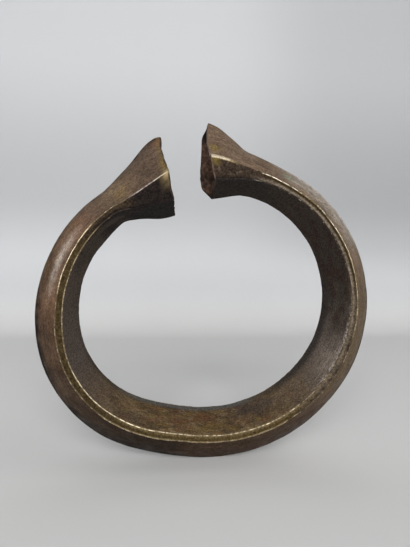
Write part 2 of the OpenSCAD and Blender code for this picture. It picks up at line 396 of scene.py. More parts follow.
def strip_chains(s):
    """Outer and inner points of a side strip, from the crease to the heel."""
    top = crease_corner(s)[CORNER_STEPS:]
    low = heel_corner(s)[:CORNER_STEPS + 1]
    outer = top[:-1] + line(top[-1], low[0], STRIP_STEPS) + low
    first, last = corner_inside(*crease_seat(s)), corner_inside(*heel_seat(s))
    return outer, line(first, last, len(outer) - 1) + [last]


def band_chains(s):
    """Outer and inner points of the inner band, from the rear heel to the front heel."""
    rear = heel_corner(s)[CORNER_STEPS:]
    front = [np.array([-p[0], p[1]]) for p in reversed(rear)]
    outer = rear[:-1] + line(rear[-1], front[0], BAND_STEPS) + front
    last = corner_inside(*heel_seat(s))
    opposite = np.array([-last[0], last[1]])
    return outer, line(last, opposite, len(outer) - 1) + [opposite]


# From a section's plane to the place in the room

# Vector noise without a seed differs from run to run
noise.seed_set(SWAY_SEED)


def sway(point):
    """Unevenness of the handmade metal: every piece that passes a point strays alike."""
    return sum((noise.noise_vector(point / length) * size for length, size in WAVES), Vector())


def eased(stops, values, at):
    """Value at a place between stops, with no kink at a stop."""
    k = max(0, min(len(stops) - 2, int(np.searchsorted(stops, at)) - 1))
    return mix(values[k], values[k + 1], smooth(stops[k], stops[k + 1], at))


def rim_lead(s, y, height):
    """How far the rim leads the plain mouth, by bent stretches and waves that fade away from the rim."""
    wave = noise.noise(Vector((y, height, RIM_LAYER * s.arm.hand)) / RIM_WAVE) * RIM_SWAY
    wavy = wave * (1 - smooth(0, RIM_REACH, s.to_rim))
    if not s.spread:
        return wavy
    up_share = np.clip((height - s.side) / (s.ridge - s.side), 0, 1)
    at = np.clip(height / s.side, 0, 1) + up_share
    front, rear = eased(RIM_STOPS, s.arm.rim_front, at), eased(RIM_STOPS, s.arm.rim_rear, at)
    depth = max(s.half_heel * (1 - up_share), LEAST_DEPTH)
    return mix(front, rear, smooth(-1, 1, y / depth)) * s.spread ** RIM_LEAD_POWER + wavy


def drift(s, y, height):
    """Inward shift of a point, where the ring is slightly twisted, knuckled or bulged."""
    share = {"front": max(0, -y / s.half_heel), "rear": max(0, y / s.half_heel),
             "ridge": (height / s.ridge) ** 2}
    return sum(size * share[edge] * math.exp(-((s.travel - middle) / reach) ** 2)
               for edge, size, middle, reach in DRIFTS)


def tip_wear(s, height):
    """How much of the mouth's sharp tip is worn off."""
    to_tip = smooth(TIP_WEAR_FROM, 1, height / s.ridge)
    return s.arm.tip_wear * to_tip * max(0, 1 - s.to_rim / TIP_WEAR_LENGTH) ** 2


def placed(s, p, face):
    """A section's point in millimetres: on the rear where face is 1, on the front where it is -1."""
    y, height = face * p[0], p[1] - tip_wear(s, p[1])
    bow = s.bow * min(height / s.side, (s.ridge - height) / (s.ridge - s.side))
    skew = -s.skew / 2 * y / s.half_heel * max(0, 1 - height / s.side)
    lead = bow + skew + s.arm.hand * rim_lead(s, y, height)
    flat = s.place + s.out * (height - drift(s, y, height)) + turned(s.out, 90) * lead
    point = Vector((flat[0] - MIDDLE, y, flat[1]))
    return np.clip(point + sway(point), *BOX)


# Meshes

REAR_SHIFT = 40


def grid_faces(first, rows, columns):
    """Quads between neighbouring points of a grid that starts at the given index."""
    return [(first + i * columns + j, first + i * columns + j + 1,
             first + (i + 1) * columns + j + 1, first + (i + 1) * columns + j)
            for i in range(rows - 1) for j in range(columns - 1)]


def seam_faces(low, high):
    """Quads between two rows of point numbers of the same length."""
    return [(low[k], low[k + 1], high[k + 1], high[k]) for k in range(len(low) - 1)]


def added(name, data):
    """A new object in the scene."""
    made = bpy.data.objects.new(name, data)
    bpy.context.scene.collection.objects.link(made)
    return made


def new_piece(name, points, faces, values):
    """A mesh object in metres, with outward faces and named values on its points."""
    mesh = bpy.data.meshes.new(name)
    mesh.from_pydata([tuple(p * MM) for p in points], [], faces)
    for key, numbers in values.items():
        mesh.attributes.new(key, "FLOAT", "POINT").data.foreach_set("value", np.asarray(numbers, np.float32))
    work = bmesh.new()
    work.from_mesh(mesh)
    bmesh.ops.recalc_face_normals(work, faces=work.faces)
    work.to_mesh(mesh)
    work.free()
    mesh.shade_smooth()
    mesh.set_sharp_from_angle(angle=math.radians(SHARP_ANGLE))
    return added(name, mesh)


def marks(s, p, layer, face):
    """What a point of a sheet carries for its material."""
    front = np.array([abs(p[0]), p[1]])
    return {"along": s.travel, "across": p[1] - p[0] + REAR_SHIFT * (face > 0), "rim": s.to_rim,
            "inside": layer, "bare": 1 - s.wired, "ridge": np.hypot(p[0], p[1] - s.ridge),
            "crease": np.linalg.norm(front - crease(s)), "heel": np.linalg.norm(front - heel(s))}


def sheet(name, chains, face):
    """Bent sheet through all stations, closed at its edges, with rounded lips at both mouths."""
    sections = [chains(s) for s in STATIONS]
    rows, width = len(STATIONS), len(sections[0][0])
    points, carried = [], []
    for layer in (0, 1):
        for s, section in zip(STATIONS, sections):
            points.extend(placed(s, p, face) for p in section[layer])
            carried.extend(marks(s, p, layer, face) for p in section[layer])
    inner = rows * width
    faces = grid_faces(0, rows, width) + grid_faces(inner, rows, width)
    for column in (0, width - 1):
        faces += seam_faces(range(column, inner, width), range(inner + column, 2 * inner, width))
    for row, neighbour in ((0, 1), (rows - 1, rows - 2)):
        lips = [range(row * width, (row + 1) * width)]
        for share in LIP_SHARES:
            lips.append(range(len(points), len(points) + width))
            for j in range(width):
                a, b = points[row * width + j], points[inner + row * width + j]
                onward = unit(a - points[neighbour * width + j])
                points.append(mix(a, b, share) + onward * LIP_BULGE * math.sin(math.pi * share))
                carried.append({**carried[row * width + j], "inside": share})
        lips.append(range(inner + row * width, inner + (row + 1) * width))
        for low, high in zip(lips, lips[1:]):
            faces += seam_faces(low, high)
        for column in (0, width - 1):
            faces.append(tuple(lip_row[column] for lip_row in lips))
    return new_piece(name, points, faces, {key: [c[key] for c in carried] for key in carried[0]})


def rubbed(stretches, travel):
    """How bright a wire is rubbed at a place along the ring."""
    return max(bright * smooth(low - RUB_FADE, low + RUB_FADE, travel)
               * (1 - smooth(high - RUB_FADE, high + RUB_FADE, travel)) for low, high, bright in stretches)


def wire_noise(s, seed, kind):
    length, layer = kind
    return noise.noise(Vector((s.travel / length, seed, layer)))


def wire_lump(s, seed, to_end, nick):
    """Unevenness of a handmade wire at one station: lumps, wander, tapered ends and a nick."""
    parts = np.array([1.0, wire_noise(s, seed, LUMPS), wire_noise(s, seed, BEADS)])
    end = min(1, math.sqrt(max(to_end, 0) / TAPER_LENGTH + TAPER_RISE))
    dent = 0
    if nick:
        dent = WIRE_NICK_DEPTH * math.exp(-((s.travel - nick) / (WIRE_NICK_LENGTH / 2)) ** 2)
    broad = FOOT_SWELL * math.exp(-((s.travel - FOOT_SWELL_MIDDLE) / FOOT_SWELL_REACH) ** 4)
    return SimpleNamespace(width=(parts @ LUMP_WIDTHS + broad) * mix(TAPER_WIDTH, 1, end),
                           rise=parts @ LUMP_RISES * end * (1 - dent),
                           wander=WANDER_SHARE * wire_noise(s, seed, WANDER))


def wire_row(p, a, b, lump):
    """Half-round section of a wire on the flat of a corner, scaled and shifted by its lump."""
    first, last = seat(p, a, b)
    out = -unit(a + b)
    middle = (first + last) / 2 + (first - last) * lump.wander
    turns = [math.pi * k / WIRE_STEPS for k in range(WIRE_STEPS + 1)]
    return [middle + (first - last) / 2 * lump.width * math.cos(turn)
            + out * (WIRE_RISE * lump.rise * math.sin(turn) - WIRE_SUNK) for turn in turns]


def wire(name, seat_of, face, seed, stretches, gap=None, nick=None):
    """An edging wire along the ring, in two lengths where it is broken."""
    wired = [s for s in STATIONS if s.to_wire_end >= 0]
    lengths = [wired]
    if gap:
        lengths = [[s for s in wired if s.travel < gap - WIRE_BREAK_GAP / 2],
                   [s for s in wired if s.travel > gap + WIRE_BREAK_GAP / 2]]
    points, faces, values = [], [], {"along": [], "rise": [], "rub": []}
    count = WIRE_STEPS + 1
    for length in lengths:
        first = len(points)
        for s in length:
            to_end = min(s.travel - length[0].travel, length[-1].travel - s.travel)
            row = wire_row(*seat_of(s), wire_lump(s, seed, to_end, nick))
            points.extend(placed(s, p, face) for p in row)
            values["along"] += [s.travel] * count
            values["rise"] += [math.sin(math.pi * k / WIRE_STEPS) for k in range(count)]
            values["rub"] += [rubbed(stretches, s.travel)] * count
        faces += grid_faces(first, len(length), count)
        faces += seam_faces(range(first, len(points), count), range(first + count - 1, len(points), count))
        faces += [tuple(range(first, first + count)), tuple(range(len(points) - count, len(points)))]
    return new_piece(name, points, faces, values)


# Shader nodes

# Where a pit's floor ends and where its edge does, as shares of the pits' size
PIT_FLOOR, PIT_EDGE = 0.08, 0.3


class Nodes:
    """A node tree whose nodes are added one call at a time."""

    def __init__(self, tree):
        self.tree = tree

    def node(self, kind, inputs=None, **settings):
        made = self.tree.nodes.new("ShaderNode" + kind)
        for key, value in settings.items():
            setattr(made, key, value)
        for key, value in (inputs or {}).items():
            self.feed(made.inputs[key], value)
        return made

    def feed(self, socket, value):
        if isinstance(value, bpy.types.NodeSocket):
            self.tree.links.new(value, socket)
        elif isinstance(value, tuple) and socket.type == "RGBA":
            socket.default_value = (*value, 1.0)
        else:
            socket.default_value = value

    def math(self, kind, a, b=0):
        return self.node("Math", {0: a, 1: b}, operation=kind).outputs["Value"]

    def times(self, first, *more):
        """Masks and numbers multiplied with each other."""
        for factor in more:
            first = self.math("MULTIPLY", first, factor)
        return first

    def either(self, a, b):
        """The stronger of two masks."""
        return self.math("MAXIMUM", a, b)

    def span(self, value, low, high, to_low=0, to_high=1):
        """The value eased from one range to another."""
        inputs = {"Value": value, "From Min": low, "From Max": high, "To Min": to_low, "To Max": to_high}
        return self.node("MapRange", inputs, interpolation_type="SMOOTHSTEP").outputs["Result"]

    def level(self, mask, low, high):
        """One number where a mask is 0, another where it is 1."""
        return self.span(mask, 0, 1, low, high)


class Shader(Nodes):
    """A material; sizes and places are in millimetres."""

    def __init__(self, name):
        self.material = bpy.data.materials.new(name)
        self.material.use_nodes = True
        super().__init__(self.material.node_tree)
        self.position = self.node("TexCoord").outputs["Object"]
        self.axes = self.node("SeparateXYZ", {"Vector": self.position}).outputs

    def finish(self, **inputs):
        surface = self.tree.nodes["Principled BSDF"].inputs
        for key, value in inputs.items():
            self.feed(surface[key.replace("_", " ")], value)
        return self.material

    def value(self, name):
        """A number that the mesh carries on its points."""
        return self.node("Attribute", attribute_name=name).outputs["Fac"]

    def within(self, name, reach, core=0):
        """1 where a carried distance is up to core, falling to 0 at the reach."""
        return self.span(self.value(name), core, reach, 1, 0)

    def between(self, name, low, high, soft):
        """1 where a carried value lies between two limits, with soft ends."""
        value = self.value(name)
        return self.times(self.span(value, low - soft, low + soft),
                          self.span(value, high - soft, high + soft, 1, 0))

    def stretch(self, limits):
        """1 on a stretch of the ring, given as from, to and the softness of its ends."""
        return self.between("along", *limits)

    def before(self, fade, strength=1):
        """The strength on the ring up to a fade, given as from and to, and 0 past it."""
        return self.span(self.value("along"), *fade, strength, 0)

    def past(self, fade, low=0):
        """1 on the ring past a fade, given as from and to, and low up to it."""
        return self.span(self.value("along"), *fade, low, 1)

    def above(self, axis, low, high):
        """0 below one place on an axis, 1 above another."""
        return self.span(self.axes[axis], low * MM, high * MM)

    def below(self, axis, low, high):
        """1 below one place on an axis, 0 above another."""
        return self.span(self.axes[axis], low * MM, high * MM, 1, 0)

    def distance(self, place):
        inputs = {0: self.position, 1: tuple(c * MM for c in place)}
        return self.node("VectorMath", inputs, operation="DISTANCE").outputs["Value"]

    def near(self, place, reach):
        """1 at a place, falling to 0 at the reach."""
        return self.span(self.distance(place), 0, reach * MM, 1, 0)

    def ring(self, place, radius, width):
        """1 on a thin ring round a place."""
        off = self.math("ABSOLUTE", self.math("SUBTRACT", self.distance(place), radius * MM))
        return self.span(off, 0, width * MM, 1, 0)

    def noise(self, size, detail=4, rough=0.55):
        """Noise whose features are about the given size."""
        inputs = {"Vector": self.position, "Scale": 1 / (size * MM), "Detail": detail, "Roughness": rough}
        return self.node("TexNoise", inputs).outputs["Fac"]

    def patches(self, size, low, high, start=0.3, end=0.6, detail=4, rough=0.55):
        """Noise eased from low, where it is up to start, to high, where it is over end."""
        return self.span(self.noise(size, detail, rough), start, end, low, high)

    def streaks(self, length, width):
        """Noise drawn out along the ring."""
        steps = {"X": self.math("DIVIDE", self.value("along"), length),
                 "Y": self.math("DIVIDE", self.value("across"), width)}
        spot = self.node("CombineXYZ", steps).outputs["Vector"]
        return self.node("TexNoise", {"Vector": spot, "Scale": 1, "Detail": 4}).outputs["Fac"]

    def pits(self, size):
        """1 in the middle of scattered round pits, 0 between them."""
        inputs = {"Vector": self.position, "Scale": 1 / (size * MM), "Randomness": 1}
        apart = self.node("TexVoronoi", inputs).outputs["Distance"]
        return self.span(apart, PIT_FLOOR, PIT_EDGE, 1, 0)

    def blend(self, share, a, b, kind="MIX"):
        made = self.node("Mix", {"Factor": share}, data_type="RGBA", blend_type=kind)
        colours = [socket for socket in made.inputs if socket.type == "RGBA"]
        self.feed(colours[0], a)
        self.feed(colours[1], b)
        return next(socket for socket in made.outputs if socket.type == "RGBA")

    def coats(self, colour, *coats):
        """The colour with tints laid over it one by one, each after its mask."""
        for mask, tint in coats:
            colour = self.blend(mask, colour, tint)
        return colour

    def shade(self, colour, factor):
        """The colour made darker or lighter by a factor."""
        return self.blend(1, colour, factor, "MULTIPLY")

    def darken(self, colour, mask, factor):
        """The colour made darker by a factor where a mask is 1."""
        return self.shade(colour, self.level(mask, 1, factor))

    def stain(self, colour, place, reach, tint, strength):
        """A soft blot round a place, thinned out by noise."""
        blot = self.times(self.near(place, reach), self.patches(reach / 3, 0.3, 1), strength)
        return self.blend(blot, colour, tint)

    def bump(self, height, strength, distance, normal=None):
        inputs = {"Height": height, "Strength": strength, "Distance": distance * MM}
        if normal:
            inputs["Normal"] = normal
        return self.node("Bump", inputs).outputs["Normal"]


# Colours of the metal, its patinas and its wear, and of painted sheens, highlights and shades
UMBER = (0.06, 0.036, 0.023)
ROSE_BROWN = (0.17, 0.107, 0.07)
SHEEN_BROWN = (0.38, 0.33, 0.28)
GREY_ROSE = (0.084, 0.058, 0.042)
FLARE_BROWN = (0.152, 0.105, 0.071)
PALE_SHEEN = (0.56, 0.51, 0.47)
RUBBED_SHEEN_ROSE = (0.6, 0.51, 0.43)
SKIN_OLIVE = (0.098, 0.069, 0.038)
FOOT_SHADE = (0.042, 0.025, 0.015)
FOOT_RED = (0.07, 0.04, 0.024)
OLIVE_GOLD = (0.17, 0.115, 0.042)
GOLD_BROWN = (0.24, 0.165, 0.095)
RED_BROWN = (0.15, 0.066, 0.034)
OLIVE_YELLOW = (0.165, 0.118, 0.03)
PURPLE_GREY = (0.064, 0.05, 0.045)
VERDIGRIS = (0.17, 0.2, 0.14)
STRIP_DARK = (0.027, 0.018, 0.008)
STRIP_OLIVE = (0.055, 0.038, 0.018)
STRIP_GOLD = (0.064, 0.044, 0.018)
STRIP_BROWN = (0.092, 0.068, 0.047)
STRIP_UMBER = (0.032, 0.022, 0.016)
STRIP_HEEL_HIGHLIGHT = (0.15, 0.12, 0.09)
INNER_DARK = (0.09, 0.06, 0.035)
INNER_BROWN = (0.205, 0.145, 0.08)
INNER_SHEEN_GREY = (0.31, 0.255, 0.21)
INNER_GREY = (0.134, 0.106, 0.088)
BAND_SHADE = (0.04, 0.036, 0.034)
BAND_RED = (0.052, 0.034, 0.028)
BAND_PALE = (0.46, 0.39, 0.35)
RING_PALE = (0.25, 0.195, 0.13)
SHADE_BROWN = (0.062, 0.05, 0.041)
SHADE_BLACK = (0.012, 0.0095, 0.009)
WARM_SHADE = (0.018, 0.013, 0.011)
PALE_BRASS = (0.62, 0.53, 0.37)
POLISH_CREAM = (0.67, 0.56, 0.41)
SILVERY = (0.5, 0.42, 0.37)
FOOT_GOLD = (0.46, 0.38, 0.26)
RIM_GOLD = (0.21, 0.15, 0.075)
EDGE_GOLD = (0.21, 0.155, 0.08)
REAR_EDGE_HIGHLIGHT = (0.112, 0.112, 0.103)
CORNER_GOLD = (0.34, 0.265, 0.145)
WIRE_SOOT = (0.03, 0.021, 0.014)
WIRE_DULL = (0.085, 0.062, 0.033)
WIRE_GOLD = (0.2, 0.15, 0.08)
WIRE_SILVER = (0.84, 0.76, 0.64)
LIP_HIGHLIGHT_ROSE = (0.13, 0.085, 0.065)
LIP_DARK = (0.045, 0.031, 0.022)
OXIDE_DARK = (0.075, 0.045, 0.032)
OXIDE_RED = (0.155, 0.098, 0.072)
STAGE_FLOOR = (0.74, 0.74, 0.73)
# Painted shade and light on the backdrop above the floor: tints as the heights where each begins and is
# full, and the colour
BACKDROP_SHADE_TINTS = ((5, 60, (0.62, 0.63, 0.645)), (80, 170, (0.48, 0.485, 0.495)),
                  (180, 360, (0.6, 0.61, 0.625)))
POLISHED_ROUGHNESS = 0.24

# Stretches of the ring that the patinas, painted sheens and painted shades follow, as from, to and the
# softness of both ends
OUTER_SHEEN_LEFT, OUTER_OLIVE, OUTER_BROWN, OUTER_SHEEN_RIGHT = (36, 52, 9), (182, 228, 9), (206, 236, 8), (236, 269, 8)
OUTER_DARK, RIDGE_DARK, LEFTMOST, RIGHT_SIDE = (63, 130, 8), (52, 134, 8), (58, 84, 8), (176, 230, 8)
BAND_REDDENED, BAND_CRUMBS_AND_GLINT = (205, 262, 12), (184, 214, 6)
BAND_REAR_DARK, BAND_REAR_HIGHLIGHT = (172, 226, 10), (104, 160, 8)
FOOT_EDGE, STRIP_FOOT, WIRE_FOOT = (104, 178, 10), (116, 172, 16), (118, 184, 8)
# Places along the ring where patinas and painted shades begin or end, as from and to
OUTER_LEFT, RIDGE_UPPER_LEFT, RIDGE_LEFT_END = (20, 37), (40, 60), (18, 36)
OUTER_RIGHT, RIDGE_RIGHT_END = (264, 276), (258, 278)
SHADED_LEFT, SHADED_HEEL, SHADED_RIGHT = (30, 66), (30, 42), (192, 230)
BLACK_LEFT, BLACK_RIGHT = (16, 34), (258, 284)
STRIP_LEFT, STRIP_LEFT_HEEL, STRIP_LEFT_MOUTH = (28, 42), (26, 38), (11, 18)
STRIP_RIGHT, STRIP_HEEL_LIT, STRIP_WIRE_SHADOW, STRIP_RIGHT_MOUTH = (164, 190), (200, 226), (214, 232), (273, 283)
WIRE_SILVERED = (232, 256)

# Stains of the outer skin, as place, reach, colour and strength
OUTER_STAINS = (
    ((-18, -4, 122), 8, RED_BROWN, 0.5),
    ((-57, -11, 58), 36, RED_BROWN, 0.3),
    ((-36, -8, 103), 13, GOLD_BROWN, 0.5),
    ((-33, -11, 101), 6, OLIVE_GOLD, 0.6),
    ((-47, -9, 88), 9, RED_BROWN, 0.45),
    ((-16.5, -14, 110), 5, OLIVE_GOLD, 0.5),
    ((0.6, -12.9, 116.6), 3.6, OLIVE_YELLOW, 1),
    ((30.1, -7.9, 108.5), 4, VERDIGRIS, 0.8),
)
# Stains of the band at the foot, and its small pale rings as place and radius
BAND_STAINS = (
    ((-4, 0, 14), 18, FOOT_RED, 0.25),
    ((-11, -3.4, 14.8), 7, RED_BROWN, 0.55),
    ((-0.5, 1.7, 13.8), 7, RED_BROWN, 0.6),
    ((-1.9, -10, 13.9), 5, OLIVE_GOLD, 0.8),
    ((2.2, -6.5, 13.8), 6, OLIVE_GOLD, 0.7),
    ((-28.2, -9.4, 19.1), 7, PURPLE_GREY, 0.6),
    ((-28.1, 10.6, 19), 12, OLIVE_GOLD, 0.4),
    ((17.7, 4, 16.4), 13, PURPLE_GREY, 0.9),
    ((26, 2, 19.6), 13, PURPLE_GREY, 0.6),
)
BAND_RINGS = (((-9.1, 8, 14.6), 1.1), ((12.5, 6.1, 14.9), 1.3), ((5.5, -1.6, 13.9), 0.9))
RING_WIDTH = 0.5
# Other marks: a stain of the right strip, a cluster of pits and a painted sheen
STRIP_STAIN = ((0.8, -16.4, 111.5), 3.5, OLIVE_YELLOW, 0.7)
RIGHT_PITS = ((44, -10, 95.5), 11)
INNER_SHEEN = ((48, -9, 42), 19)


# Marks that several metals share; m is always the Shader that is being built

def left_mouth(m):
    return m.below("X", -14, -8)


def inside_colour(m, colour):
    """The sheets' hollow side: red-brown oxide, with painted shade in the corners and towards the ridge."""
    oxide = m.blend(m.patches(3, 0, 1, 0.35, 0.7), OXIDE_DARK, OXIDE_RED)
    oxide = m.shade(oxide, m.patches(1.2, 0.55, 1.45, 0.3, 0.7, 3))
    corners = m.either(m.within("heel", 5, 1), m.within("crease", 6, 1.5))
    # Painted shade in the corners and towards the ridge
    oxide = m.coats(oxide, (m.times(corners, m.patches(2, 0.35, 0.8)), SHADE_BLACK),
                    (m.within("ridge", 11, 4), SHADE_BLACK))
    return m.blend(m.value("inside"), colour, oxide)


def left_arris(m, reach):
    """The left flare's sharp crease, rubbed bright past the wire's end."""
    bare = m.times(m.value("bare"), left_mouth(m), m.within("rim", 17, 10))
    return m.times(m.within("crease", reach, 0.1), bare, m.patches(0.9, 0.15, 1, 0.32, 0.6))


def right_polish(m, reach):
    """The right flare's round crease, polished next to the rim."""
    return m.times(m.within("crease", reach, 0.2), m.within("rim", 10.5, 2), m.above("X", -8, -4),
                   m.patches(1.2, 0.6, 1, 0.3, 0.55))


def lip(m, colour):
    """The rims' thin edge: rose-brown as a painted highlight on the right front, dark on the left and at the
    rear.
    """
    # Painted highlight on the right front lip
    tint = m.blend(m.either(left_mouth(m), m.above("Y", -2, 4)), LIP_HIGHLIGHT_ROSE, LIP_DARK)
    return m.blend(m.times(m.within("rim", 0.6), m.patches(1.5, 0.3, 1)), colour, tint)


def mouth_wear(m, colour, polish, arris):
    """Marks of a sheet at the mouths: wear as polish, a golden corner and a silvery to brassy arris, then
    lips with a painted highlight and the hollow side with painted shade.
    """
    by_corner = m.times(m.within("rim", 2.6, 0.3), m.within("crease", 2.4, 0.4), left_mouth(m))
    colour = m.coats(
        colour,
        (m.span(polish, 0, 0.45), EDGE_GOLD),
        (m.span(polish, 0.25, 0.8), POLISH_CREAM),
        (m.times(by_corner, m.patches(1, 0.5, 0.9)), CORNER_GOLD),
        (arris, m.blend(m.within("rim", 7, 2), SILVERY, PALE_BRASS)))
    return inside_colour(m, lip(m, colour))


def foot_edge(m):
    """The metal next to the inner wire at the foot, grained with gold."""
    return m.times(m.within("heel", 1.5, 0.5), m.stretch(FOOT_EDGE), m.patches(1, 0.2, 0.85, 0.32, 0.65))


# The metals

def outer_ground(m, left_sheen, right_sheen):
    """Patina of the outer plates as it changes along the ring, with painted sheens on the left and upper
    right and painted shade at the foot.
    """
    off_crease = m.span(m.value("crease"), 0.5, 8, 0.25, 1)
    return m.coats(
        m.blend(m.patches(13, 0, 1, 0.34, 0.66, 5, 0.6), UMBER, ROSE_BROWN),
        (m.patches(4.5, 0, 0.4, 0.5, 0.72, 5), OLIVE_GOLD),
        # Painted sheen along the middle of the left plate, partly rubbed bright
        (left_sheen, RUBBED_SHEEN_ROSE),
        # Painted pale sheen on the upper right, palest by the ridge
        (m.times(right_sheen, off_crease, m.patches(3.5, 0.45, 1, 0.3, 0.65, 5)), SHEEN_BROWN),
        (m.times(right_sheen, m.within("ridge", 7, 1), m.patches(3, 0.4, 1)), PALE_SHEEN),
        (m.times(m.past(OUTER_RIGHT), m.patches(5, 0.2, 0.9, 0.3, 0.7, 5)), FLARE_BROWN),
        (m.times(m.stretch(OUTER_BROWN), 0.6), FLARE_BROWN),
        (m.times(m.stretch(OUTER_OLIVE), m.patches(2.6, 0.35, 0.9)), SKIN_OLIVE),
        (m.before(OUTER_LEFT, 0.85), GREY_ROSE),
        (m.times(m.within("rim", 3, 0.3), left_mouth(m), m.patches(2, 0.2, 0.6)), OLIVE_GOLD),
        # Painted shade: the plates darker towards the foot
        (m.below("Z", 8, 34), FOOT_SHADE),
        (m.times(m.below("Z", 12, 40), m.patches(1.8, 0, 0.7, 0.5, 0.64)), FOOT_RED))


def outer_shade_and_grain(m, colour):
    """Painted shade of the outer plates on the lower left and along the ridge, and their grain."""
    shade_breakup = m.patches(4, 0.45, 1.1, 0.32, 0.68, 5)
    shade_specks = m.times(shade_breakup, m.patches(1.6, 0.25, 1, 0.38, 0.6))
    ends = m.either(m.before(RIDGE_LEFT_END), m.past(RIDGE_RIGHT_END))
    # Painted shade along the ridge, where the plates turn away, broken up by noise
    for reach, core, where, breakup, factor in (
            (11, 1.5, m.stretch(RIDGE_DARK), shade_breakup, 0.38),
            (10, 1.5, m.stretch(LEFTMOST), shade_breakup, 0.32),
            (8, 2, m.stretch(RIGHT_SIDE), shade_breakup, 0.42),
            (6, 0.5, m.before(RIDGE_UPPER_LEFT), shade_specks, 0.42),
            (3.2, 0.6, ends, shade_specks, 0.35)):
        colour = m.darken(colour, m.times(m.within("ridge", reach, core), where, breakup), factor)
    # Painted shade over the lower left
    colour = m.darken(colour, m.stretch(OUTER_DARK), 0.46)
    colour = m.shade(colour, m.span(m.streaks(9, 0.7), 0.3, 0.7, 0.76, 1.2))
    colour = m.shade(colour, m.patches(2.4, 0.9, 1.1, 0.36, 0.64))
    return m.shade(colour, m.patches(0.8, 0.66, 1.32, 0.3, 0.7, 3))


def outer_metal():
    """Outer plates: rose-brown patina, stained, painted darker at the foot as shade, with a painted pale
    sheen on the upper right.
    """
    m = Shader("outer_metal")
    right_sheen = m.stretch(OUTER_SHEEN_RIGHT)
    left_sheen = m.times(m.between("crease", 3.6, 6.6, 2.6), m.stretch(OUTER_SHEEN_LEFT), m.patches(3, 0.5, 0.95))
    colour = outer_ground(m, left_sheen, right_sheen)
    for stain in OUTER_STAINS:
        colour = m.stain(colour, *stain)
    colour = outer_shade_and_grain(m, colour)
    colour = m.blend(m.times(right_sheen, m.patches(1.3, 0, 0.7, 0.5, 0.64)), colour, OLIVE_GOLD)
    dots = m.times(m.pits(0.9), m.patches(4, 0, 1, 0.5, 0.62))
    cluster = m.times(m.pits(0.8), m.near(*RIGHT_PITS))
    colour = m.darken(colour, m.either(dots, cluster), 0.32)
    polish, arris = right_polish(m, 1.7), left_arris(m, 0.42)
    colour = mouth_wear(m, colour, polish, arris)
    normal = m.bump(m.streaks(7, 0.45), 0.25, 0.12)
    normal = m.bump(m.noise(1.1), 0.4, 0.2, normal)
    normal = m.bump(m.pits(0.9), m.level(polish, 0.25, 0.04), -0.12, normal)
    metallic = m.level(m.either(left_sheen, right_sheen), 0.05, 0.36)
    roughness = m.patches(4, 0.36, 0.54, 0.3, 0.7, 5)
    return m.finish(Base_Color=colour, Metallic=m.level(m.either(polish, arris), metallic, 0.95),
                    Roughness=m.level(polish, roughness, POLISHED_ROUGHNESS),
                    Specular_IOR_Level=0.02, Normal=normal)


def band_ground(m):
    """Patina of the inner band as it changes along the ring, with a painted sheen low on the right and
    painted shade towards the mouths.
    """
    colour = m.coats(
        m.blend(m.patches(8, 0, 1, 0.36, 0.66, 6, 0.65), INNER_DARK, INNER_BROWN),
        (m.patches(3.2, 0, 0.75, 0.49, 0.64, 5), OLIVE_GOLD),
        (m.patches(4.2, 0, 0.5, 0.5, 0.62), RED_BROWN))
    colour = m.shade(colour, m.patches(1.9, 0.84, 1.16, 0.36, 0.64))
    for stain in BAND_STAINS:
        colour = m.stain(colour, *stain)
    ragged = m.math("ADD", m.value("along"), m.patches(9, -9, 9, 0.3, 0.7))
    return m.coats(
        colour,
        (m.above("Z", 14, 40), INNER_GREY),
        # Painted sheen low on the right of the band
        (m.times(m.near(*INNER_SHEEN), m.span(m.streaks(7, 0.6), 0.3, 0.65, 0.25, 1)), INNER_SHEEN_GREY),
        # Painted shade: the band darker, then black, towards the mouths
        (m.either(m.span(ragged, *SHADED_LEFT, 0.65, 0), m.span(ragged, *SHADED_RIGHT)), SHADE_BROWN),
        (m.either(m.span(ragged, *BLACK_LEFT, 1, 0), m.span(ragged, *BLACK_RIGHT, 0, 0.8)), BAND_SHADE),
        (m.times(m.stretch(BAND_REDDENED), m.patches(6, 0, 0.8, 0.46, 0.6)), BAND_RED))


def band_edges(m, colour):
    """The band's two heels: painted shade and a grey painted highlight at the rear; painted shade, gold
    grain and pale crumbs at the front, the crumbs worn and partly a painted highlight.
    """
    rear, front = m.above("Y", 2, 8), m.below("Y", -8, -2)
    crumbs_and_glint = m.times(m.stretch(BAND_CRUMBS_AND_GLINT), m.patches(1.2, 0, 0.9, 0.42, 0.6))
    return m.coats(
        colour,
        # Painted shade along the rear heel, and a grey painted highlight on its edge at the foot
        (m.times(m.within("heel", 8, 1.5), rear, m.below("Z", 30, 60), 0.6), SHADE_BROWN),
        (m.times(m.within("heel", 10, 4), rear, m.stretch(BAND_REAR_DARK), 0.75), BAND_SHADE),
        (m.times(m.within("heel", 6, 2.5), rear, m.stretch(BAND_REAR_HIGHLIGHT), 0.85), REAR_EDGE_HIGHLIGHT),
        # Painted shade along the heel on the left
        (m.times(m.within("heel", 1.6, 0.8), m.before(SHADED_HEEL, 0.6)), SHADE_BLACK),
        (foot_edge(m), EDGE_GOLD),
        # Pale crumbs on the front heel: wear, and partly a painted highlight
        (m.times(m.within("heel", 2.8, 1), front, crumbs_and_glint), BAND_PALE))


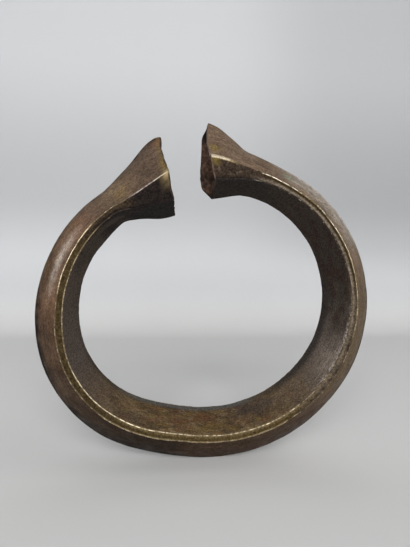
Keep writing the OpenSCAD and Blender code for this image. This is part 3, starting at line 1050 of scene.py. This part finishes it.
def band_metal():
    """Inner band: mottled gold and red at the foot, greyer on the sides, painted dark as shade towards the
    mouths, with a painted sheen low on the right.
    """
    m = Shader("band_metal")
    colour = band_edges(m, band_ground(m))
    colour = m.shade(colour, m.patches(0.7, 0.6, 1.42, 0.3, 0.7, 3))
    for place, radius in BAND_RINGS:
        mark = m.times(m.ring(place, radius, RING_WIDTH), m.patches(1.2, 0.15, 0.9, 0.36, 0.6))
        colour = m.blend(mark, colour, RING_PALE)
    pitted = m.times(m.pits(1.1), m.patches(5, 0, 1, 0.45, 0.6))
    colour = inside_colour(m, lip(m, m.darken(colour, pitted, 0.4)))
    return m.finish(Base_Color=colour, Metallic=0, Roughness=m.patches(6, 0.5, 0.7, 0.3, 0.7),
                    Specular_IOR_Level=0, Normal=m.bump(m.noise(1.3), 0.45, 0.25))


def strip_right(m):
    """Side strips on the right: brown, with a painted highlight next to the heel and a painted shadow line
    at the crease.
    """
    # Painted highlight along the rounded heel, broken into flecks
    heel_highlight = m.times(m.within("heel", 1.9, 0.7), m.patches(0.9, 0.45, 1), m.past(STRIP_HEEL_LIT, 0.6))
    return m.coats(
        m.blend(m.patches(2, 0, 1, 0.36, 0.68, 5), STRIP_UMBER, STRIP_BROWN),
        (heel_highlight, STRIP_HEEL_HIGHLIGHT),
        # Painted shadow along the crease, under the wire
        (m.times(m.within("crease", 1.4, 0.7), m.past(STRIP_WIRE_SHADOW)), STRIP_DARK))


def strip_metal():
    """Side strips: dark olive, golden at the foot, brown on the right, painted dark as shade at the mouths.
    """
    m = Shader("strip_metal")
    mottled = m.blend(m.patches(1.8, 0, 1, 0.48, 0.8, 5), STRIP_UMBER, STRIP_BROWN)
    # Painted shade next to the heel
    mottled = m.blend(m.within("heel", 1.6, 0.4), mottled, WARM_SHADE)
    left_heel = m.times(m.within("heel", 1.7, 0.7), m.before(STRIP_LEFT_HEEL))
    # Painted shade: black at the left heel and the left mouth
    black = m.blend(m.patches(2.5, 0, 1, 0.4, 0.7), SHADE_BLACK, WARM_SHADE)
    colour = m.coats(
        m.blend(m.patches(1.1, 0, 1, 0.25, 0.75), STRIP_DARK, STRIP_OLIVE),
        (m.before(STRIP_LEFT, 0.75), STRIP_UMBER),
        (m.times(m.stretch(STRIP_FOOT), m.patches(0.8, 0.2, 1)), STRIP_GOLD),
        (m.times(foot_edge(m), 0.55), EDGE_GOLD),
        (m.past(STRIP_RIGHT), strip_right(m)),
        (m.past(STRIP_RIGHT_MOUTH), mottled),
        (m.either(left_heel, m.before(STRIP_LEFT_MOUTH)), black))
    colour = m.shade(colour, m.patches(0.7, 0.56, 1.44, 0.3, 0.7, 3))
    rim_gold = m.times(m.within("rim", 4.5), m.within("crease", 7.5), left_mouth(m))
    colour = m.blend(m.times(rim_gold, m.patches(1.8, 0.5, 1)), colour, RIM_GOLD)
    colour = m.stain(colour, *STRIP_STAIN)
    polish, arris = right_polish(m, 1), left_arris(m, 0.35)
    colour = mouth_wear(m, colour, polish, arris)
    roughness = m.patches(3, 0.45, 0.62, 0.3, 0.7)
    return m.finish(Base_Color=colour, Metallic=m.level(m.either(polish, arris), 0.06, 0.95),
                    Roughness=m.level(polish, roughness, POLISHED_ROUGHNESS),
                    Specular_IOR_Level=0, Normal=m.bump(m.noise(0.9, 3), 0.5, 0.2))


def wire_metal():
    """Edging wires: brown in hollows and dull stretches, rubbed to pale brass elsewhere."""
    m = Shader("wire_metal")
    colour = m.blend(m.patches(1.5, 0, 1, 0.35, 0.7), WIRE_DULL, WIRE_GOLD)
    colour = m.blend(m.span(m.value("rub"), 0, 0.4), WIRE_SOOT, colour)
    patchy = m.span(m.math("ADD", m.value("rub"), m.patches(1, -0.55, 0.45, 0.3, 0.7)), 0.1, 1)
    shiny = m.times(m.span(m.value("rise"), 0.7, 1), patchy)
    bright = m.blend(m.stretch(WIRE_FOOT), PALE_BRASS, FOOT_GOLD)
    bright = m.blend(m.past(WIRE_SILVERED), bright, WIRE_SILVER)
    return m.finish(Base_Color=m.blend(shiny, colour, bright), Metallic=m.level(shiny, 0.1, 1),
                    Roughness=m.level(shiny, 0.5, 0.3), Specular_IOR_Level=0.05,
                    Normal=m.bump(m.noise(0.6, 2), 0.3, 0.15))


def pale_stage():
    """Plain paper with painted shade: a little darker halfway up the backdrop and on its right."""
    m = Shader("pale_stage")
    colour = STAGE_FLOOR
    # Painted shade: backdrop tints by height, and a darker right side
    for low, high, tint in BACKDROP_SHADE_TINTS:
        colour = m.blend(m.above("Z", low, high), colour, tint)
    right_shade = m.times(m.above("X", 0, 250), m.above("Z", 40, 120))
    return m.finish(Base_Color=m.darken(colour, right_shade, 0.84), Roughness=0.9, Specular_IOR_Level=0.1)


# The pieces, each in place of its solid

def dress(piece, node, material):
    piece.data.materials.append(material)
    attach(piece, "root")
    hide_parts(node)


outer, strip, band, brass = outer_metal(), strip_metal(), band_metal(), wire_metal()
for face, where in ((-1, "front"), (1, "rear")):
    dress(sheet(where + "_plate", plate_chains, face), where + "_outer_plate", outer)
    dress(sheet(where + "_strip", strip_chains, face), where + "_side_strip", strip)
dress(sheet("band", band_chains, 1), "inner_band", band)
for node, edging in (
        ("front_outer_wire", wire("front_crease_wire", crease_seat, -1, 2, CREASE_RUBBED, gap=WIRE_BREAK)),
        ("front_inner_wire", wire("front_heel_wire", heel_seat, -1, 12, HEEL_RUBBED, nick=WIRE_NICK)),
        ("rear_outer_wire", wire("rear_crease_wire", crease_seat, 1, 22, REAR_CREASE_RUBBED)),
        ("rear_inner_wire", wire("rear_heel_wire", heel_seat, 1, 32, REAR_HEEL_RUBBED))):
    dress(edging, node, brass)


# Stage, light and camera

def sweep():
    """A floor that curves up into a backdrop."""
    profile = [(STAGE_FRONT, 0.0), (SWEEP_START, 0.0)]
    for k in range(1, SWEEP_STEPS + 1):
        angle = math.pi / 2 * k / SWEEP_STEPS
        profile.append((SWEEP_START + SWEEP_RADIUS * math.sin(angle), SWEEP_RADIUS * (1 - math.cos(angle))))
    profile.append((SWEEP_START + SWEEP_RADIUS, STAGE_TOP))
    points = [(x, y, z) for x in (-STAGE_HALF_WIDTH, STAGE_HALF_WIDTH) for y, z in profile]
    count = len(profile)
    faces = [(i, count + i, count + i + 1, i + 1) for i in range(count - 1)]
    mesh = bpy.data.meshes.new("sweep")
    mesh.from_pydata(points, [], faces)
    mesh.shade_smooth()
    mesh.materials.append(pale_stage())
    added("sweep", mesh)


def area_light(name, place, size, power):
    light = bpy.data.lights.new(name, "AREA")
    light.size = size
    light.energy = power
    made = added(name, light)
    made.visible_camera = False
    made.location = place
    made.rotation_euler = (Vector(LAMP_AIM) - Vector(place)).to_track_quat("-Z", "Y").to_euler()


def world_light():
    """Soft light from all around, brighter from above; camera and gloss see it as pale paper."""
    world = bpy.data.worlds.new("studio")
    world.use_nodes = True
    nodes = Nodes(world.node_tree)
    place = nodes.node("TexCoord").outputs["Generated"]
    height = nodes.node("SeparateXYZ", {"Vector": place}).outputs["Z"]
    light = nodes.span(height, *WORLD_SLOPES, *WORLD_LEVELS)
    rays = nodes.node("LightPath").outputs
    gloss = nodes.either(rays["Is Glossy Ray"], rays["Is Transmission Ray"])
    looking = nodes.either(rays["Is Camera Ray"], gloss)
    strength = nodes.node("Mix", {"Factor": looking, "A": light, "B": WORLD_SEEN}).outputs["Result"]
    background = world.node_tree.nodes["Background"].inputs
    nodes.feed(background["Strength"], strength)
    nodes.feed(background["Color"], WORLD_TINT)
    bpy.context.scene.world = world


def camera():
    """The photograph's camera, as solved from the ring's edges."""
    lens = bpy.data.cameras.new("camera")
    lens.sensor_fit = "HORIZONTAL"
    lens.sensor_width = SENSOR_WIDTH
    lens.lens = SENSOR_WIDTH * FOCAL_PIXELS / IMAGE_WIDTH
    lens.clip_start = CLIP_START
    made = added("camera", lens)
    turn = (Matrix.Rotation(math.radians(-CAMERA_YAW), 4, "Z")
            @ Matrix.Rotation(math.radians(90 + CAMERA_PITCH), 4, "X")
            @ Matrix.Rotation(math.radians(CAMERA_ROLL), 4, "Z"))
    made.matrix_world = Matrix.Translation(Vector(CAMERA_PLACE) * MM) @ turn
    bpy.context.scene.camera = made


sweep()
for lamp in LAMPS:
    area_light(*lamp)
world_light()
camera()
bpy.context.scene.view_settings.view_transform = "Standard"
